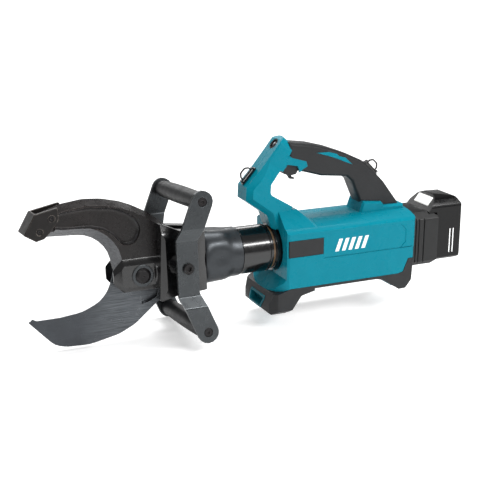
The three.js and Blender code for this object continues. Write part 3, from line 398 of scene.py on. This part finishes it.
def forged_jaw():
    return surface("forged_jaw", srgb("191413"), 0.28, metallic=0.2, mottle=0.3, grain=0.5, depth=0.04,
                   stretch=(0.2, 1, 1), worn=srgb("776a65"), wear=0.7, wear_width=1.4,
                   zones=(dark_root, ground_bevel("66686b", 0.9)))


def tip_steel():
    return surface("tip_steel", srgb("1b1817"), 0.36, metallic=0.4, mottle=0.2, grain=0.5, depth=0.04,
                   worn=srgb("a1978e"), wear=1.0, wear_width=2.0)


def battery_shell():
    both_sides = tuple(bars(*PACK_MARK, 7 * MM, 0.3, 0.0, side) for side in (-1, 1))
    return surface("battery_shell", srgb("060607"), 0.16, mottle=0.1, grain=0.4, depth=0.006, shine=0.25,
                   worn=srgb("303235"), wear=0.4, spread=0.05, zones=both_sides)


def lamp_bezel():
    return surface("lamp_bezel", srgb("0c0d0e"), 0.5, mottle=0.1, shine=0.3)


def socket_teal():
    return surface("socket_teal", srgb("0b6b79"), 0.4, mottle=0.05, shine=0.2)


# by the record's material slots
MATERIALS = {
    "teal": teal_shell(),
    "rubber": moulded_rubber(),
    "black_plastic": gloss_black(),
    "grey_plastic": adapter_plastic(),
    "satin_steel": satin_strap(),
    "dark_steel": blackened_steel(),
    "gloss_steel": gloss_steel(),
    "cast": cast_head(),
    "blade": machined_blade(),
    "bright": ground_steel(),
    "bronze": turned_bronze(),
    "copper": wound_copper(),
    "white_plastic": white_button(),
    "board": coated_board(),
    "lens": lamp_lens(),
}
# nodes that differ from the rest of their slot
OWN_LOOK = {
    "upper_jaw": forged_jaw(),
    "tip_block": tip_steel(),
    "battery_case": battery_shell(),
    "lamp_bezel": lamp_bezel(),
    "front_socket": socket_teal(),
}
SLOT_OF = {part["node"]: part["material_slot"] for part in frame["record"]["subparts"]}
# how far edges are rounded, in millimetres
EDGE = 0.4
EDGE_WIDTH = {
    "housing_left": 2.0, "housing_right": 2.0, "base_bumper": 2.4, "grip": 2.5, "handle_strap_left": 0.8,
    "handle_strap_right": 0.8, "head_fork": 1.4, "upper_jaw": 2.0, "lower_jaw": 0.7, "tip_block": 0.8,
    "battery_case": 3.0, "battery_mount": 1.2, "crosshead": 1.0,
}


def dress_cad_nodes():
    """Every CAD node gets its material and its rounded edges."""
    for name, piece in nodes.items():
        piece.data.materials.clear()
        piece.data.materials.append(OWN_LOOK.get(name, MATERIALS[SLOT_OF[name]]))
        soften(piece, EDGE_WIDTH.get(name, EDGE), flat="housing" not in name)


def cast_dome():
    """The casting behind the fork: a turned shape that dips between four lobes."""
    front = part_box("head_dome")[0].x
    # distance from the front face, radius, dip between the lobes, in millimetres
    outline = [
        (0, 16, 0), (0, 44, 0), (0.6, 46.5, 0), (3, 48.6, 1.0), (8, 50, 2.6), (14, 50.2, 4.6), (21, 49.9, 6),
        (28, 49.7, 6.4), (35, 49.4, 6), (41, 48.4, 4.8), (46, 46.6, 3.0), (50, 44.9, 1.5), (55, 43.7, 0.5),
        (62, 43.1, 0.1), (69.6, 42.7, 0), (70.6, 42.2, 0), (70.6, 38.6, 0), (57.8, 38.6, 0), (57.8, 16, 0),
    ]
    steps = 96
    points = []
    for distance, radius, dip in outline:
        for step in range(steps):
            angle = 2 * math.pi * step / steps
            reach = radius - dip * (0.5 + 0.5 * math.cos(4 * angle)) ** 1.5
            turned = angle + HEAD_ROLL
            points.append((front + distance * MM, -reach * MM * math.sin(turned),
                           AXIS.z + reach * MM * math.cos(turned)))
    rings = len(outline)
    faces = []
    for ring in range(rings):
        for step in range(steps):
            following = (step + 1) % steps
            after = (ring + 1) % rings
            faces.append((ring * steps + step, after * steps + step, after * steps + following,
                          ring * steps + following))
    mesh = bpy.data.meshes.new("cast_dome")
    mesh.from_pydata(points, [], faces)
    mesh.materials.append(MATERIALS["cast"])
    casting = bpy.data.objects.new("cast_dome", mesh)
    bpy.context.scene.collection.objects.link(casting)
    soften(casting, 0, flat=False)
    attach(casting, "head")
    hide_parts("head_dome")


def spring_coil():
    """The return spring shortens as the ram moves forward: a copy of it stands in for it."""
    coil = bpy.data.objects.new("spring_coil", nodes["return_spring"].data.copy())
    bpy.context.scene.collection.objects.link(coil)
    soften(coil, 0, flat=False)
    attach(coil, "head")
    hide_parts("return_spring")
    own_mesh(coil)


dress_cad_nodes()
cast_dome()
spring_coil()


# ---- studio -------------------------------------------------------------------------------------
def studio():
    """A wide pale floor that brightens with distance, under an even white sky."""
    floor_mesh = bpy.data.meshes.new("floor")
    half = 60.0
    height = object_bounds()[0].z - MM
    corners = [(-half, -half, height), (half, -half, height), (half, half, height), (-half, half, height)]
    floor_mesh.from_pydata(corners, [], [(0, 1, 2, 3)])
    floor = bpy.data.objects.new("floor", floor_mesh)
    bpy.context.scene.collection.objects.link(floor)
    paint = surface("pale_floor", srgb("f0f0f0"), 0.7, mottle=0.01, grain=2, depth=0.02)
    glow = paint.node_tree.nodes["Principled BSDF"]
    tree = paint.node_tree
    glow.inputs["Emission Color"].default_value = (1, 1, 1, 1)
    away = wire(tree, "ShaderNodeVectorMath", {0: place(tree)}, output="Value", operation="LENGTH")
    seen = wire(tree, "ShaderNodeLightPath", output="Is Camera Ray")
    strength = times(tree, ramp(tree, away, 0.8, 4.0, 0.45, 0.85), ramp(tree, seen, 0, 1, 0.4, 1.0))
    tree.links.new(strength, glow.inputs["Emission Strength"])
    floor_mesh.materials.append(paint)
    floor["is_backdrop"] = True
    world = bpy.data.worlds.new("studio")
    bpy.context.scene.world = world
    world.use_nodes = True
    sky = world.node_tree.nodes["Background"]
    sky.inputs["Color"].default_value = (1, 1, 1, 1)
    sky.inputs["Strength"].default_value = 0.3


def softbox(name, location, target, size, power):
    """A rectangular lamp that faces its target; places and sizes in metres, power in watts."""
    lamp = bpy.data.lights.new(name, "AREA")
    lamp.shape = "RECTANGLE"
    lamp.size, lamp.size_y = size
    lamp.energy = power
    lit = bpy.data.objects.new(name, lamp)
    bpy.context.scene.collection.objects.link(lit)
    lit.location = location
    lit.rotation_euler = (Vector(target) - Vector(location)).to_track_quat("-Z", "Y").to_euler()


def camera():
    """Looks at the tool from its left side, a little to the front and above."""
    lens = bpy.data.cameras.new("camera")
    lens.lens = 76.66
    lens.sensor_width = 36
    lens.clip_end = 50
    seen = bpy.data.objects.new("camera", lens)
    bpy.context.scene.collection.objects.link(seen)
    azimuth, elevation, distance = math.radians(-23.815), math.radians(16.53), 1.7657
    back = Vector((math.sin(azimuth) * math.cos(elevation), -math.cos(azimuth) * math.cos(elevation),
                   math.sin(elevation)))
    target = Vector((-0.0535, 0, 0.12815))
    seen.location = target + distance * back
    seen.rotation_euler = (-back).to_track_quat("-Z", "Y").to_euler()
    bpy.context.scene.camera = seen


studio()
softbox("key", (-0.9, -1.5, 1.7), (-0.1, 0, 0.1), (1.2, 0.9), 6)
softbox("top", (0.0, 0.25, 1.7), (0.0, 0, 0.1), (1.8, 0.5), 26)
softbox("strip", (0.75, -1.6, 1.35), (0.0, 0, 0.1), (1.6, 0.26), 34)
softbox("fill", (1.4, -1.3, 0.8), (0.1, 0, 0.1), (0.9, 0.9), 3)
softbox("rim", (0.2, 1.7, 1.0), (0, 0, 0.1), (1.6, 0.5), 8)
camera()
bpy.context.scene.view_settings.view_transform = "Standard"
